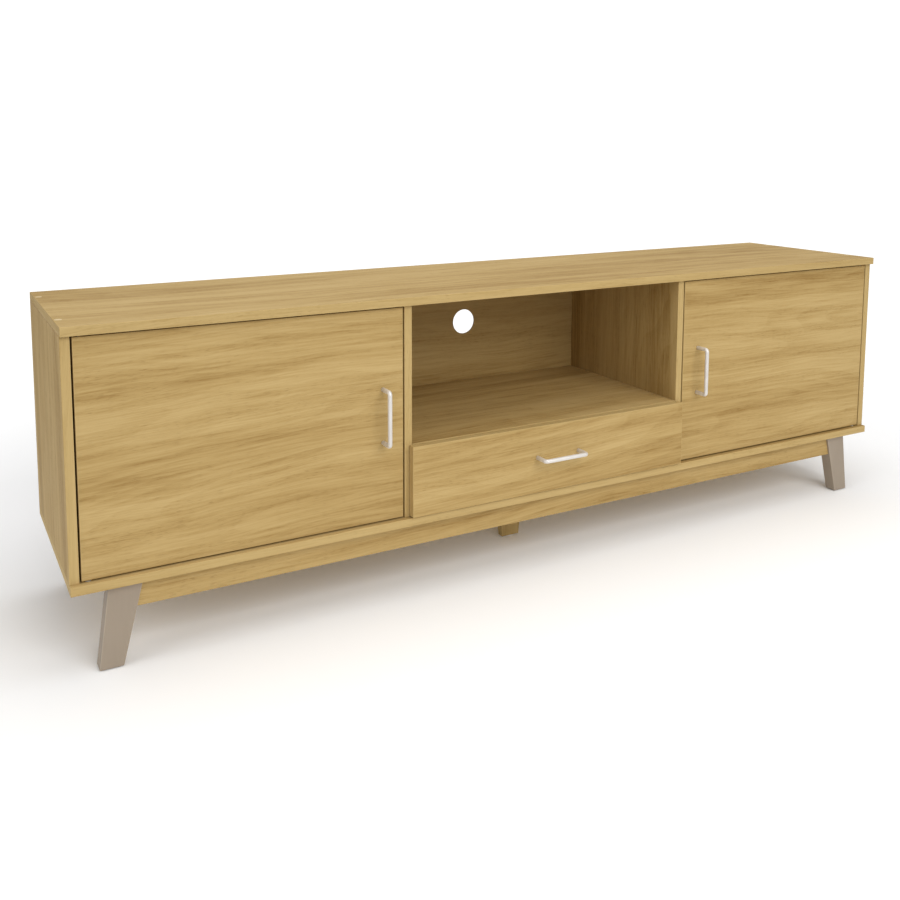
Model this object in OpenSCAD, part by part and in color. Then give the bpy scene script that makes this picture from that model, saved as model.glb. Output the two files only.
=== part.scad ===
// Low television stand: a niche over a drawer between two cupboards with inset doors, on splayed legs.
// The origin is on the floor, in the middle of the whole outline. +X is to the right, -Y to the front.

/* [Carcass] */
// Width of the top and bottom boards
body_w = 1800; // [1300:10:2200]
// Depth of the top and bottom boards
body_d = 380; // [320:1:480]
// Height from the underside of the bottom board to the top surface
carcass_h = 418; // [340:1:560]
// Thickness of the carcass boards, shelves and apron
board_t = 15; // [14:0.1:20]
// How far the top and bottom boards stand forward of the uprights
board_proud = 9; // [2:1:14]
// Width of the open niche between the two dividers
niche_w = 620; // [480:1:760]
// Thickness of the thin back panels
back_t = 3; // [2.5:0.1:5]
// Distance from the rear edge of the boards to the back panels
back_inset = 5; // [4:1:12]
// Depth of the grooves that hold the back panels
groove_depth = 6; // [4:0.5:7]
// Diameter of the cable hole in the middle back panel
cable_hole_d = 55; // [40:1:80]
// Distance of the cable hole to the right of the centre line
cable_hole_x = 9; // [-100:1:100]
// Distance of the cable hole's centre below the top surface
cable_hole_drop = 134; // [80:1:150]

/* [Cupboards] */
// Thickness of a door
door_t = 15; // [14:0.1:20]
// Gap between a door and the boards round it
door_gap = 3; // [2:0.1:4.5]
// Height of the loose shelf's top surface above the bottom board
loose_shelf_h = 196; // [120:1:240]
// Distance from the front of the uprights to the loose shelf
loose_shelf_setback = 38; // [34:1:80]
// Play at each end of a loose shelf
loose_shelf_play = 1; // [0.5:0.1:2]
// Diameter of a shelf pin
shelf_pin_d = 5; // [4:0.5:7]
// Length of a shelf pin
shelf_pin_l = 16; // [12:1:20]

/* [Door hinges] */
// Least clearance between a swinging door's corner and the side panel
swing_clear = 0.6; // [0.4:0.1:1.2]
// Diameter of a hinge pin's spindle
spindle_d = 5; // [4:0.5:7]
// Length of the spindle inside its bush
spindle_l = 9; // [6:0.5:10]
// Radial clearance of the spindle in its bush
spindle_clear = 0.05; // [0.02:0.01:0.1]
// Outer diameter of a hinge bush
bush_d = 10; // [9:0.5:12]
// Diameter of the part of a hinge pin that is set in the door
pin_root_d = 8; // [6:0.5:9]
// Depth of the hinge pin in the door
pin_root_l = 20; // [14:1:30]

/* [Drawer] */
// Height of the drawer front
drawer_front_h = 131; // [110:1:160]
// How far the drawer front covers each divider's edge
drawer_overlay = 6; // [4:0.5:6.5]
// Gap between the drawer front and the edges it covers
front_gap = 1; // [0.5:0.1:2]
// Height of the drawer's sides
drawer_side_h = 86; // [60:1:92]
// Thickness of the drawer's sides and back
drawer_side_t = 12; // [10:0.5:15]
// Depth of the drawer box behind its front
drawer_d = 320; // [306:1:350]
// Thickness of the drawer's bottom
drawer_bottom_t = 3; // [2.5:0.1:5]
// Height of the drawer box above the bottom board
drawer_lift = 14; // [8:1:16]
// Space for a runner on each side of the drawer box
runner_space = 12.5; // [12:0.1:14]
// Length of a runner
runner_l = 300; // [260:1:300]
// Thickness of the runner's steel
runner_t = 1.2; // [1:0.1:1.5]
// Diameter of a runner roller
roller_d = 23; // [18:0.5:24]
// Width of a runner roller
roller_w = 6.5; // [5:0.1:7]

/* [Handles] */
// Distance between a handle's two posts
handle_pitch = 96; // [64:1:160]
// Thickness of the handle's rod
handle_rod_d = 8; // [6:0.5:10]
// Distance from the front's face to the middle of the bar
handle_reach = 28; // [24:1:40]
// Radius on the inside of the rod's bends
handle_bend_r = 1; // [0.5:0.5:8]
// Distance from a door's free edge to its handle
handle_inset = 39.5; // [25:0.5:60]
// Diameter of a handle screw
handle_screw_d = 4; // [3:0.5:5]

/* [Legs] */
// Height of the legs
leg_h = 138; // [100:1:180]
// Thickness of a corner leg
leg_t = 26; // [16:1:30]
// Width of a corner leg at the top
leg_top_w = 54; // [40:1:80]
// Width of a corner leg at the floor
leg_foot_w = 38; // [30:1:60]
// Distance from the end of the cabinet to the leg's outer edge at the top
leg_inset = 58; // [40:1:120]
// How far the leg's outer edge leans outwards on its way down
leg_splay = 18; // [0:1:40]
// Distance from the cabinet's front or rear edge to the leg
leg_setback = 14; // [4:1:30]
// Width of the centre leg at the top
centre_leg_top_w = 64; // [40:1:90]
// Width of the centre leg at the floor
centre_leg_foot_w = 40; // [30:1:60]
// Distance from the cabinet's front edge to the centre leg
centre_leg_setback = 158; // [100:1:200]
// Height of the apron under the bottom board
apron_h = 45; // [30:1:70]
// Distance of the apron behind the front faces of the legs
apron_setback = 5; // [2:1:20]
// Thickness of a glide under a leg
glide_t = 1.5; // [1:0.1:4]
// Diameter of a glide
glide_d = 16; // [12:1:20]

/* [Fasteners] */
// Diameter of a carcass screw's thread
screw_d = 5; // [4:0.5:6]
// Diameter of a carcass screw's plain neck
screw_neck_d = 7; // [6:0.5:7.5]
// Diameter of a carcass screw's head
screw_head_d = 9.5; // [8:0.5:11]
// Depth of a carcass screw's head
screw_head_h = 3; // [2:0.5:4]
// Length of a carcass screw
screw_l = 50; // [40:1:60]
// Diameter of a cover cap
cap_d = 12; // [11.5:0.5:15]
// Thickness of a cover cap
cap_t = 0.8; // [0.5:0.1:1.5]
// Diameter of a wooden dowel
dowel_d = 8; // [6:1:8]
// Length of a wooden dowel
dowel_l = 30; // [24:1:40]
// Diameter of a cam lock
cam_d = 15; // [12:0.5:15]
// Metal of a cam lock beyond the bolt it holds
cam_wall = 1.5; // [1:0.1:2]
// Diameter of the bolt that a cam lock pulls
cam_bolt_d = 6; // [5:0.5:7]

/* [Hidden] */
$fn = 48;

LEFT = -1;
RIGHT = 1;
FRONT = -1;
REAR = 1;

// Colours
OAK = "#c7a25a";
OAK_DARK = "#a9803f";
TAUPE = "#8f7f70";
STEEL = "#b9bcc0";
BRUSHED = "#dedee0";
PLASTIC = "#e9e7e1";
BEECH = "#d9b98a";

// Depth: the outline runs from the drawer handle's bar to the rear edge of the boards.
drawer_proud = door_t + front_gap - board_proud;
reach_ahead = drawer_proud + handle_reach + handle_rod_d / 2;
front_y = (reach_ahead - body_d) / 2;
rear_y = front_y + body_d;
upright_y = front_y + board_proud;
upright_d = body_d - board_proud;
back_y = rear_y - back_inset - back_t;
drawer_back_of_front_y = upright_y - front_gap;
drawer_front_y = drawer_back_of_front_y - door_t;

// Heights
base_z = leg_h;
inner_z = base_z + board_t;
top_z = base_z + carcass_h;
ceiling_z = top_z - board_t;
inner_h = ceiling_z - inner_z;
drawer_front_z = inner_z + door_gap;
niche_lip = 1;
niche_shelf_z = drawer_front_z + drawer_front_h + niche_lip - board_t;
niche_floor_z = niche_shelf_z + board_t;
loose_shelf_z = inner_z + loose_shelf_h - board_t;
drawer_z = inner_z + drawer_lift;

// Across
half_w = body_w / 2;
side_face_x = half_w - board_t;
niche_x = niche_w / 2;
divider_x = niche_x + board_t;
side_mid_x = half_w - board_t / 2;
divider_mid_x = niche_x + board_t / 2;
cupboard_w = side_face_x - divider_x;
upright_mids = [-side_mid_x, -divider_mid_x, divider_mid_x, side_mid_x];

// Doors turn on pins in the middle of their thickness, far enough in for the corner to clear the side.
door_w = cupboard_w - 2 * door_gap;
door_h = inner_h - 2 * door_gap;
door_z = inner_z + door_gap;
door_mid_z = door_z + door_h / 2;
swing_gap = door_gap - swing_clear;
pin_inset = (pow(door_t / 2, 2) - pow(swing_gap, 2)) / (2 * swing_gap);
hinge_x = side_face_x - door_gap - pin_inset;
hinge_y = upright_y + door_t / 2;
handle_x = divider_x + door_gap + handle_inset;
collar_play = 0.4;
collar_t = door_gap - collar_play;
collar_d = 9;
bush_l = spindle_l + 1;

// Fasteners of the boards, placed from their front and rear edges
front_screw_inset = 69;
rear_screw_inset = 67;
screw_ys = [front_y + front_screw_inset, rear_y - rear_screw_inset];
front_dowel_inset = 110;
rear_dowel_inset = 120;
dowel_ys = [front_y + front_dowel_inset, rear_y - rear_dowel_inset];
bite_share = 0.625;
board_bite = board_t * bite_share;
cam_drop = 34;
neck_beyond_board = 4;
neck_l = board_t + neck_beyond_board;
over = 1;

// Back panels
groove_play = 0.3;
groove_floor_gap = 0.5;
back_reach = groove_depth - groove_floor_gap;
niche_shelf_rear_gap = 1;
loose_shelf_rear_gap = 4;
loose_shelf_d = back_y - loose_shelf_rear_gap - upright_y - loose_shelf_setback;
shelf_pin_front = 32;
shelf_pin_rear = 46;
shelf_pin_ys = [upright_y + loose_shelf_setback + shelf_pin_front, back_y - shelf_pin_rear];

// Legs
leg_front_y = front_y + leg_setback;
leg_rear_y = rear_y - leg_setback - leg_t;
leg_top_x = half_w - leg_inset;
leg_foot_x = leg_top_x + leg_splay;
leg_mid_top_x = leg_top_x - leg_top_w / 2;
leg_mid_foot_x = leg_foot_x - leg_foot_w / 2;
centre_leg_y = front_y + centre_leg_setback;
leg_screw_l = 55;
leg_screw_lean = (leg_mid_foot_x - leg_mid_top_x) * (leg_screw_l - board_t) / 2 / (base_z - glide_t);
leg_screw_x = leg_mid_top_x + leg_screw_lean;
leg_screw_spread_share = 0.24;
leg_screw_spread = leg_top_w * leg_screw_spread_share;
centre_leg_t = board_t;
apron_y = leg_front_y + apron_setback;
apron_screw_xs = [for (k = [-3, -1, 1, 3]) k * leg_top_x / 4];
nail_d = 2.4;
nail_l = 12;

// Drawer box and runners. A runner is drawn from the divider's face inwards, round its roller's axis.
drawer_half_w = niche_x - runner_space;
drawer_inner_x = drawer_half_w - drawer_side_t;
drawer_front_w = niche_w + 2 * drawer_overlay;
drawer_bottom_lift = 8;
drawer_bottom_z = drawer_z + drawer_bottom_lift;
drawer_groove = 6;
drawer_groove_play = 0.3;
roller_r = roller_d / 2;
roller_play = 0.3;
roller_lift = 16;
roller_z = drawer_z + roller_lift;
runner_side_play = 1;
roller_face = runner_t + runner_side_play;
flange_reach = runner_space - runner_t - runner_side_play;
axle_d = 5;
axle_clear = 0.05;
axle_play = 0.3;
axle_head_t = 0.4;
axle_head_d = 7;
runner_setback = 3;
runner_y = upright_y + runner_setback;
front_roller_margin = 2;
front_roller_y = runner_y + roller_r + front_roller_margin;
rear_roller_margin = 6;
rear_roller_y = runner_y + runner_l - roller_r - rear_roller_margin;
ride_z = roller_r + roller_play;
lid_play = 0.8;
lid_z = ride_z + runner_t + lid_play;
runner_screw_shares = [0.25, 0.5, 0.85];
runner_screw_ys = [for (share = runner_screw_shares) runner_y + share * runner_l];
drawer_screw_shares = [0.2, 0.8];
drawer_screw_ys = [for (share = drawer_screw_shares) runner_y + share * runner_l];
small_screw_d = 3.5;
small_head_d = 6.4;
small_head_h = 0.9;
runner_screw_l = 12;
drawer_screw_l = 10;
back_screw_l = 40;
back_screw_head_h = 2;
front_bite = 10;
low_cam_inset = 24;
high_cam_inset = 20;
drawer_cam_zs = [drawer_z + low_cam_inset, drawer_z + drawer_side_h - high_cam_inset];
drawer_handle_rise = 4.5;
drawer_handle_z = drawer_front_z + drawer_front_h / 2 + drawer_handle_rise;
handle_screw_bite = 12;
handle_screw_head_d = 2 * handle_screw_d;
handle_screw_head_share = 0.6;
handle_screw_head_h = handle_screw_d * handle_screw_head_share;

// Catches
catch_w = 44;
catch_d = 14;
catch_h = 13;
catch_gap = 0.3;
strike_t = 1.2;
strike_w = 38;
strike_h = 11;
strike_drop = 1;
catch_inset = 60;
catch_x = divider_x + door_gap + catch_inset;

// A box from its lowest corner
module box(x, y, z, w, d, h) translate([x, y, z]) cube([w, d, h]);

// Rods along each axis, starting at the origin
module rod_x(d, l) rotate([0, 90, 0]) cylinder(d = d, h = l);
module rod_y(d, l) rotate([-90, 0, 0]) cylinder(d = d, h = l);
module rod_z(d, l) cylinder(d = d, h = l);

// Keeps a shape as drawn for the right, or mirrors it to the left
module on(side) mirror([side == LEFT ? 1 : 0, 0, 0]) children();

// Carcass screw whose head's top is at the origin and whose point is straight down
module carcass_screw() {
    translate([0, 0, -screw_head_h]) rod_z(screw_head_d, screw_head_h);
    translate([0, 0, -neck_l]) rod_z(screw_neck_d, neck_l - screw_head_h);
    translate([0, 0, -screw_l]) rod_z(screw_d, screw_l - neck_l);
}

// Small flush screw whose head's top is at the origin and whose point is straight down
module small_screw(l, head_h) {
    translate([0, 0, -head_h]) rod_z(small_head_d, head_h);
    translate([0, 0, -l]) rod_z(small_screw_d, l - head_h);
}

// Dowels between the uprights and the top and bottom boards
module dowels() for (x = upright_mids, y = dowel_ys) {
    translate([x, y, ceiling_z + board_bite - dowel_l]) rod_z(dowel_d, dowel_l);
    translate([x, y, inner_z - board_bite]) rod_z(dowel_d, dowel_l);
}

module top_screw_set() for (x = [-side_mid_x, side_mid_x], y = screw_ys)
    translate([x, y, top_z - cap_t]) carcass_screw();

module cap_set() for (x = [-side_mid_x, side_mid_x], y = screw_ys)
    translate([x, y, top_z - cap_t]) rod_z(cap_d, cap_t);

module bottom_screw_set() for (x = upright_mids, y = screw_ys)
    translate([x, y, base_z]) mirror([0, 0, 1]) carcass_screw();

module cam_bolt_set() for (x = [-divider_mid_x, divider_mid_x], y = screw_ys)
    translate([x, y, ceiling_z - cam_drop]) rod_z(cam_bolt_d, cam_drop + board_bite);

// Cam locks sit in the cupboard side of each divider and close round their bolts
module cam_set(hollow) for (side = [LEFT, RIGHT], y = screw_ys) on(side)
    translate([divider_mid_x, y, ceiling_z - cam_drop]) difference() {
        translate([-cam_bolt_d / 2 - cam_wall, 0, 0]) rod_x(cam_d, board_t / 2 + cam_bolt_d / 2 + cam_wall);
        if (hollow)
            rod_z(cam_bolt_d, cam_d);
    }

module niche_shelf_screw_set() for (side = [LEFT, RIGHT], y = screw_ys) on(side)
    translate([divider_x, y, niche_shelf_z + board_t / 2]) rotate([0, 90, 0]) carcass_screw();

module leg_screw_set() {
    for (side = [LEFT, RIGHT], y = [leg_front_y, leg_rear_y], k = [-1, 1]) on(side)
        translate([leg_screw_x + k * leg_screw_spread, y + leg_t / 2, inner_z])
            long_screw();
    for (k = [-1, 1])
        translate([k * leg_screw_spread, centre_leg_y + centre_leg_t / 2, inner_z]) long_screw();
}

module apron_screw_set() for (x = apron_screw_xs)
    translate([x, apron_y + board_t / 2, inner_z]) long_screw();

// Countersunk screw through the bottom board, flush with its upper face
module long_screw() {
    translate([0, 0, -screw_head_h]) rod_z(screw_head_d, screw_head_h);
    translate([0, 0, -leg_screw_l]) rod_z(screw_d, leg_screw_l - screw_head_h);
}

// Hinge pin and bush at one end of a door, drawn from the board's face at z = 0 with the board above
module hinge_pin() {
    translate([0, 0, -door_gap - pin_root_l]) rod_z(pin_root_d, pin_root_l);
    translate([0, 0, -door_gap]) rod_z(collar_d, collar_t);
    translate([0, 0, -door_gap]) rod_z(spindle_d, door_gap + spindle_l);
}

module hinge_bush() difference() {
    rod_z(bush_d, bush_l);
    translate([0, 0, -over]) rod_z(spindle_d + 2 * spindle_clear, bush_l + 2 * over);
}

module at_hinges(side) on(side) translate([hinge_x, hinge_y, 0]) {
    translate([0, 0, ceiling_z]) children();
    translate([0, 0, inner_z]) mirror([0, 0, 1]) children();
}

// Holes for the hinge bushes in the top and bottom boards
module bush_holes() for (side = [LEFT, RIGHT]) at_hinges(side) rod_z(bush_d, bush_l);

// Groove that takes the back panels, over a height and a width
module back_groove(x, z, w, h) box(x, back_y - groove_play / 2, z, w, back_t + groove_play, h);

module top_panel() color(OAK) difference() {
    box(-half_w, front_y, ceiling_z, body_w, body_d, board_t);
    back_groove(-side_face_x - groove_depth, ceiling_z, 2 * (side_face_x + groove_depth), groove_depth);
    dowels();
    top_screw_set();
    cap_set();
    cam_bolt_set();
    bush_holes();
}

module bottom_panel() color(OAK) difference() {
    box(-half_w, front_y, base_z, body_w, body_d, board_t);
    back_groove(-side_face_x - groove_depth, inner_z - groove_depth,
        2 * (side_face_x + groove_depth), groove_depth);
    dowels();
    bottom_screw_set();
    leg_screw_set();
    apron_screw_set();
    bush_holes();
}

module side_panel(side) color(OAK) difference() {
    on(side) difference() {
        box(side_face_x, upright_y, inner_z, board_t, upright_d, inner_h);
        back_groove(side_face_x - over, inner_z - over, groove_depth + over, inner_h + 2 * over);
    }
    dowels();
    top_screw_set();
    bottom_screw_set();
    shelf_pin_set(side);
}

module divider(side) color(OAK) difference() {
    on(side) difference() {
        box(niche_x, upright_y, inner_z, board_t, upright_d, inner_h);
        back_groove(niche_x - over, inner_z - over, groove_depth + over, inner_h + 2 * over);
        back_groove(divider_x - groove_depth, inner_z - over, groove_depth + over, inner_h + 2 * over);
    }
    dowels();
    bottom_screw_set();
    cam_bolt_set();
    cam_set(false);
    niche_shelf_screw_set();
    shelf_pin_set(side);
    runner_screw_set();
}

module niche_shelf() color(OAK) difference() {
    box(-niche_x, upright_y, niche_shelf_z, niche_w, back_y - niche_shelf_rear_gap - upright_y, board_t);
    niche_shelf_screw_set();
}

module loose_shelf(side) color(OAK) on(side)
    box(divider_x + loose_shelf_play, upright_y + loose_shelf_setback, loose_shelf_z,
        cupboard_w - 2 * loose_shelf_play, loose_shelf_d, board_t);

// Four pins under a loose shelf, half of each in a board
module shelf_pin_set(side) on(side) for (y = shelf_pin_ys) {
    translate([divider_x - shelf_pin_l / 2, y, loose_shelf_z - shelf_pin_d / 2])
        rod_x(shelf_pin_d, shelf_pin_l);
    translate([side_face_x - shelf_pin_l / 2, y, loose_shelf_z - shelf_pin_d / 2])
        rod_x(shelf_pin_d, shelf_pin_l);
}

module back_panel(x0, x1) {
    box(x0 - back_reach, back_y, inner_z - back_reach,
        x1 - x0 + 2 * back_reach, back_t, inner_h + 2 * back_reach);
}

module cupboard_back(side) color(OAK_DARK) on(side) back_panel(divider_x, side_face_x);

module centre_back_panel() color(OAK_DARK) difference() {
    back_panel(-niche_x, niche_x);
    translate([cable_hole_x, back_y - over, top_z - cable_hole_drop]) rod_y(cable_hole_d, back_t + 2 * over);
}

// Outline of a corner leg, drawn for the right and seen from the front
module leg_outline() polygon([
    [leg_top_x, base_z], [leg_foot_x, glide_t], [leg_foot_x - leg_foot_w, glide_t],
    [leg_top_x - leg_top_w, base_z]
]);

// Gives an outline in X and Z a thickness along Y, starting at y
module upright_plate(y, t) translate([0, y + t, 0]) rotate([90, 0, 0]) linear_extrude(t) children();

module corner_leg(side, y) color(TAUPE) difference() {
    on(side) upright_plate(y, leg_t) leg_outline();
    leg_screw_set();
    glide_nails();
}

module centre_leg() color(OAK_DARK) difference() {
    upright_plate(centre_leg_y, centre_leg_t) polygon([
        [centre_leg_top_w / 2, base_z], [centre_leg_foot_w / 2, glide_t],
        [-centre_leg_foot_w / 2, glide_t], [-centre_leg_top_w / 2, base_z]
    ]);
    leg_screw_set();
    glide_nails();
}

// Apron between the front legs, with its ends cut to the lean of the legs
function leg_inner_x(z) = leg_top_x - leg_top_w
    + (leg_splay + leg_top_w - leg_foot_w) * (base_z - z) / (base_z - glide_t);

module front_apron() color(OAK) difference() {
    upright_plate(apron_y, board_t) polygon([
        [-leg_inner_x(base_z), base_z], [leg_inner_x(base_z), base_z],
        [leg_inner_x(base_z - apron_h), base_z - apron_h], [-leg_inner_x(base_z - apron_h), base_z - apron_h]
    ]);
    apron_screw_set();
}

// Places for the glides: the middle of each foot
module at_feet() {
    for (side = [LEFT, RIGHT], y = [leg_front_y, leg_rear_y]) on(side)
        translate([leg_mid_foot_x, y + leg_t / 2, 0]) children();
    translate([0, centre_leg_y + centre_leg_t / 2, 0]) children();
}

module glide_nails() at_feet() rod_z(nail_d, glide_t + nail_l);

module foot_glides() color(PLASTIC) at_feet() union() {
    rod_z(min(glide_d, board_t), glide_t);
    rod_z(nail_d, glide_t + nail_l);
}

// Slab of a door, and its hinge pin holes and handle screw holes
module door(side) color(OAK) difference() {
    on(side) box(divider_x + door_gap, upright_y, door_z, door_w, door_t, door_h);
    at_hinges(side) translate([0, 0, -door_gap - pin_root_l]) rod_z(pin_root_d, pin_root_l);
    door_handle_screw_set(side);
}

// Bent rod with its posts on the face at y = 0 and its bar along X, standing out to -Y
module bar_handle() {
    bend = handle_bend_r + handle_rod_d / 2;
    straight = handle_pitch / 2 - bend;
    post = handle_reach - bend;
    difference() {
        union() {
            for (side = [LEFT, RIGHT]) on(side) {
                translate([handle_pitch / 2, -post, 0]) rod_y(handle_rod_d, post);
                translate([straight, -post, 0]) mirror([0, 1, 0])
                    rotate_extrude(angle = 90) translate([bend, 0]) circle(d = handle_rod_d);
            }
            translate([-straight, -handle_reach, 0]) rod_x(handle_rod_d, 2 * straight);
        }
        handle_screws();
    }
}

// Two screws from behind a board whose front is at y = 0
module handle_screws() for (x = [-handle_pitch / 2, handle_pitch / 2])
    translate([x, -handle_screw_bite, 0]) {
        rod_y(handle_screw_d, handle_screw_bite + door_t);
        translate([0, handle_screw_bite + door_t, 0]) rod_y(handle_screw_head_d, handle_screw_head_h);
    }

module at_door_handle(side) on(side) translate([handle_x, upright_y, door_mid_z])
    rotate([0, 90, 0]) children();

module at_drawer_handle() translate([0, drawer_front_y, drawer_handle_z]) children();

module door_handle_screw_set(side) at_door_handle(side) handle_screws();

module door_handle(side) color(BRUSHED) at_door_handle(side) bar_handle();

// Magnetic catch under the top board, and the plate on the door that it holds
module catch_set() for (side = [LEFT, RIGHT]) on(side)
    box(catch_x - catch_w / 2, upright_y + door_t + strike_t + catch_gap, ceiling_z - catch_h,
        catch_w, catch_d, catch_h);

module strike_plate(side) color(STEEL) on(side)
    box(catch_x - strike_w / 2, upright_y + door_t, ceiling_z - door_gap - strike_drop - strike_h,
        strike_w, strike_t, strike_h);

// Frame for one runner: X from the divider's face inwards, Z from the roller's axis
module at_runner(side) on(side) mirror([1, 0, 0]) translate([-niche_x, 0, roller_z]) children();

module cabinet_runner() {
    box(0, runner_y, -ride_z - runner_t, runner_t, runner_l, ride_z + lid_z + 2 * runner_t);
    box(0, runner_y, -ride_z - runner_t, flange_reach, runner_l, runner_t);
    box(0, runner_y, lid_z, flange_reach, runner_l, runner_t);
    translate([runner_t / 2, front_roller_y, 0])
        rod_x(axle_d, roller_face + roller_w + axle_play - runner_t / 2);
    translate([roller_face + roller_w + axle_play, front_roller_y, 0]) rod_x(axle_head_d, axle_head_t);
}

module drawer_runner() {
    box(runner_space - runner_t, runner_y, drawer_z - roller_z - runner_t,
        runner_t, runner_l, roller_z - drawer_z + ride_z + 2 * runner_t);
    box(roller_face, runner_y, ride_z, runner_space - roller_face, runner_l, runner_t);
    box(runner_space - runner_t, runner_y, drawer_z - roller_z - runner_t,
        runner_t + drawer_side_t, runner_l, runner_t);
    translate([roller_face - axle_play, rear_roller_y, 0])
        rod_x(axle_d, runner_space - roller_face + axle_play - runner_t / 2);
    translate([roller_face - axle_play - axle_head_t, rear_roller_y, 0]) rod_x(axle_head_d, axle_head_t);
}

module roller(y) translate([roller_face, y, 0]) difference() {
    rod_x(roller_d, roller_w);
    translate([-over, 0, 0]) rod_x(axle_d + 2 * axle_clear, roller_w + 2 * over);
}

// Screws through the cabinet runners into the dividers
module runner_screw_set() for (side = [LEFT, RIGHT], y = runner_screw_ys) at_runner(side)
    translate([runner_t, y, 0]) rotate([0, 90, 0]) small_screw(runner_screw_l, small_head_h);

// Screws through the drawer runners into the drawer's sides
module drawer_screw_set() for (side = [LEFT, RIGHT], y = drawer_screw_ys) at_runner(side)
    translate([runner_space - runner_t, y, 0]) rotate([0, -90, 0]) small_screw(drawer_screw_l, small_head_h);

module drawer_cam_bolt_set() for (side = [LEFT, RIGHT], z = drawer_cam_zs) on(side)
    translate([drawer_half_w - drawer_side_t / 2, drawer_back_of_front_y - front_bite, z])
        rod_y(cam_bolt_d, front_bite + cam_drop);

module drawer_cam_set(hollow) for (side = [LEFT, RIGHT], z = drawer_cam_zs) on(side)
    translate([drawer_inner_x, drawer_back_of_front_y + cam_drop, z]) difference() {
        rod_x(cam_d, drawer_side_t / 2 + cam_bolt_d / 2 + cam_wall);
        if (hollow)
            translate([drawer_side_t / 2, -cam_d, 0]) rod_y(cam_bolt_d, cam_d);
    }

module drawer_back_screw_set() for (side = [LEFT, RIGHT], z = drawer_cam_zs) on(side)
    translate([drawer_half_w, drawer_back_of_front_y + drawer_d - drawer_side_t / 2, z])
        rotate([0, 90, 0]) small_screw(back_screw_l, back_screw_head_h);

// Room for the drawer's bottom in the boards round it
module drawer_bottom_groove() box(-drawer_inner_x - drawer_groove - drawer_groove_play,
    drawer_back_of_front_y - drawer_groove - drawer_groove_play, drawer_bottom_z - drawer_groove_play / 2,
    2 * (drawer_inner_x + drawer_groove + drawer_groove_play),
    drawer_groove + drawer_groove_play + drawer_d + over, drawer_bottom_t + drawer_groove_play);

module drawer_front() color(OAK) difference() {
    box(-drawer_front_w / 2, drawer_front_y, drawer_front_z, drawer_front_w, door_t, drawer_front_h);
    drawer_bottom_groove();
    at_drawer_handle() handle_screws();
    drawer_cam_bolt_set();
}

module drawer_side(side) color(BEECH) difference() {
    on(side) box(drawer_inner_x, drawer_back_of_front_y, drawer_z, drawer_side_t, drawer_d, drawer_side_h);
    drawer_bottom_groove();
    drawer_cam_bolt_set();
    drawer_cam_set(false);
    drawer_screw_set();
    drawer_back_screw_set();
}

module drawer_back() color(BEECH) difference() {
    box(-drawer_inner_x, drawer_back_of_front_y + drawer_d - drawer_side_t,
        drawer_bottom_z + drawer_bottom_t, 2 * drawer_inner_x, drawer_side_t,
        drawer_z + drawer_side_h - drawer_bottom_z - drawer_bottom_t);
    drawer_back_screw_set();
}

module drawer_bottom() color(BEECH)
    box(-drawer_inner_x - drawer_groove, drawer_back_of_front_y - drawer_groove, drawer_bottom_z,
        2 * (drawer_inner_x + drawer_groove), drawer_groove + drawer_d, drawer_bottom_t);

module left_side_panel() side_panel(LEFT);
module right_side_panel() side_panel(RIGHT);
module left_divider() divider(LEFT);
module right_divider() divider(RIGHT);
module left_shelf() loose_shelf(LEFT);
module right_shelf() loose_shelf(RIGHT);
module left_shelf_pins() color(STEEL) shelf_pin_set(LEFT);
module right_shelf_pins() color(STEEL) shelf_pin_set(RIGHT);
module left_back_panel() cupboard_back(LEFT);
module right_back_panel() cupboard_back(RIGHT);
module front_left_leg() corner_leg(LEFT, leg_front_y);
module front_right_leg() corner_leg(RIGHT, leg_front_y);
module rear_left_leg() corner_leg(LEFT, leg_rear_y);
module rear_right_leg() corner_leg(RIGHT, leg_rear_y);
module leg_screws() color(STEEL) leg_screw_set();
module apron_screws() color(STEEL) apron_screw_set();
module top_screws() color(STEEL) top_screw_set();
module screw_caps() color(OAK) cap_set();
module bottom_screws() color(STEEL) bottom_screw_set();
module top_cam_bolts() color(STEEL) cam_bolt_set();
module top_cams() color(STEEL) cam_set(true);
module niche_shelf_screws() color(STEEL) niche_shelf_screw_set();
module carcass_dowels() color(BEECH) dowels();
module hinge_bushes() color(PLASTIC) for (side = [LEFT, RIGHT]) at_hinges(side) hinge_bush();
module magnetic_catches() color(PLASTIC) catch_set();
module cabinet_runners() color(PLASTIC) difference() {
    for (side = [LEFT, RIGHT]) at_runner(side) cabinet_runner();
    runner_screw_set();
}
module cabinet_runner_screws() color(STEEL) runner_screw_set();
module front_rollers() color(PLASTIC) for (side = [LEFT, RIGHT]) at_runner(side) roller(front_roller_y);
module left_door() door(LEFT);
module right_door() door(RIGHT);
module left_door_handle() door_handle(LEFT);
module right_door_handle() door_handle(RIGHT);
module left_handle_screws() color(STEEL) door_handle_screw_set(LEFT);
module right_handle_screws() color(STEEL) door_handle_screw_set(RIGHT);
module left_hinge_pins() color(STEEL) at_hinges(LEFT) hinge_pin();
module right_hinge_pins() color(STEEL) at_hinges(RIGHT) hinge_pin();
module left_strike_plate() strike_plate(LEFT);
module right_strike_plate() strike_plate(RIGHT);
module drawer_left_side() drawer_side(LEFT);
module drawer_right_side() drawer_side(RIGHT);
module drawer_handle() color(BRUSHED) at_drawer_handle() bar_handle();
module drawer_handle_screws() color(STEEL) at_drawer_handle() handle_screws();
module drawer_cam_bolts() color(STEEL) drawer_cam_bolt_set();
module drawer_cams() color(STEEL) drawer_cam_set(true);
module drawer_back_screws() color(STEEL) drawer_back_screw_set();
module drawer_runners() color(PLASTIC) difference() {
    for (side = [LEFT, RIGHT]) at_runner(side) drawer_runner();
    drawer_screw_set();
}
module drawer_runner_screws() color(STEEL) drawer_screw_set();
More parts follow.
